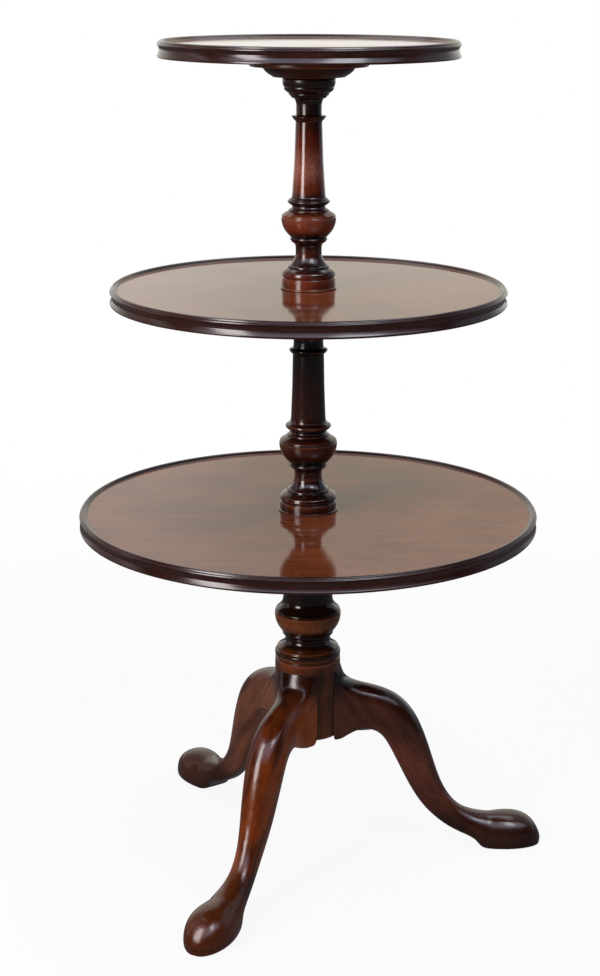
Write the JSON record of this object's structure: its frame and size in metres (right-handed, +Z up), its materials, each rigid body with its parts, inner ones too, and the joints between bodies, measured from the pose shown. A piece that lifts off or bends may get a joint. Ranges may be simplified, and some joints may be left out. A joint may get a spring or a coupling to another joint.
{
  "type": "dumbwaiter table",
  "caption": "Round dumbwaiter table with dished trays of rising size that turn about a turned central pillar on carved cabriole legs with pad feet.",
  "frame": {"origin": "on the floor, in the middle of the box round the whole table; the pillar's axis stands 12.8 mm towards -X from it, because one leg reaches towards +X past the trays", "axes": "+Z up along the pillar; the first leg points 4.6 degrees from +X towards +Y; -Y is the side that the picture was taken from"},
  "size_m": [0.6356, 0.61, 1.114],
  "materials": {
    "top_tray": "dark red-brown mahogany, French polished, high gloss",
    "top_bearer": "dark mahogany, French polished",
    "top_bearer_screw_1": "dull steel",
    "top_bearer_screw_2": "dull steel",
    "top_bearer_screw_3": "dull steel",
    "top_bearer_screw_4": "dull steel",
    "middle_tray": "dark red-brown mahogany, French polished, high gloss",
    "middle_bearer": "dark mahogany, French polished",
    "middle_bearer_screw_1": "dull steel",
    "middle_bearer_screw_2": "dull steel",
    "middle_bearer_screw_3": "dull steel",
    "middle_bearer_screw_4": "dull steel",
    "bottom_tray": "dark red-brown mahogany, French polished, high gloss",
    "bottom_bearer": "dark mahogany, French polished",
    "bottom_bearer_screw_1": "dull steel",
    "bottom_bearer_screw_2": "dull steel",
    "bottom_bearer_screw_3": "dull steel",
    "bottom_bearer_screw_4": "dull steel",
    "upper_stem": "warm red-brown turned mahogany, French polished",
    "lower_stem": "warm red-brown turned mahogany, French polished",
    "base_column": "warm red-brown turned mahogany, French polished",
    "leg_right": "dark red-brown carved mahogany, French polished",
    "leg_front": "dark red-brown carved mahogany, French polished",
    "leg_back": "dark red-brown carved mahogany, French polished",
    "spider_plate": "black wrought iron, rough",
    "plate_column_screw_1": "dull steel",
    "plate_leg_screw_1": "dull steel",
    "plate_column_screw_2": "dull steel",
    "plate_leg_screw_2": "dull steel",
    "plate_column_screw_3": "dull steel",
    "plate_leg_screw_3": "dull steel"
  },
  "bodies": {
    "base": {"upper_stem": "upper_stem", "lower_stem": "lower_stem", "base_column": "base_column", "leg_right": "leg_right", "leg_front": "leg_front", "leg_back": "leg_back", "spider_plate": "spider_plate", "plate_column_screw_1": "plate_column_screw_1", "plate_leg_screw_1": "plate_leg_screw_1", "plate_column_screw_2": "plate_column_screw_2", "plate_leg_screw_2": "plate_leg_screw_2", "plate_column_screw_3": "plate_column_screw_3", "plate_leg_screw_3": "plate_leg_screw_3"},
    "top_tier": {"top_tray": "top_tray", "top_bearer": "top_bearer", "top_bearer_screw_1": "top_bearer_screw_1", "top_bearer_screw_2": "top_bearer_screw_2", "top_bearer_screw_3": "top_bearer_screw_3", "top_bearer_screw_4": "top_bearer_screw_4"},
    "middle_tier": {"middle_tray": "middle_tray", "middle_bearer": "middle_bearer", "middle_bearer_screw_1": "middle_bearer_screw_1", "middle_bearer_screw_2": "middle_bearer_screw_2", "middle_bearer_screw_3": "middle_bearer_screw_3", "middle_bearer_screw_4": "middle_bearer_screw_4"},
    "bottom_tier": {"bottom_tray": "bottom_tray", "bottom_bearer": "bottom_bearer", "bottom_bearer_screw_1": "bottom_bearer_screw_1", "bottom_bearer_screw_2": "bottom_bearer_screw_2", "bottom_bearer_screw_3": "bottom_bearer_screw_3", "bottom_bearer_screw_4": "bottom_bearer_screw_4"}
  },
  "joints": [
    {"name": "top_tray_turn", "type": "hinge", "parent": "base", "child": "top_tier", "pos_m": [-0.01281, 0, 1.11], "axis": [0, 0, 1], "continuous": true},
    {"name": "middle_tray_turn", "type": "hinge", "parent": "base", "child": "middle_tier", "pos_m": [-0.01281, 0, 0.7985], "axis": [0, 0, 1], "continuous": true},
    {"name": "bottom_tray_turn", "type": "hinge", "parent": "base", "child": "bottom_tier", "pos_m": [-0.01281, 0, 0.499], "axis": [0, 0, 1], "continuous": true}
  ]
}
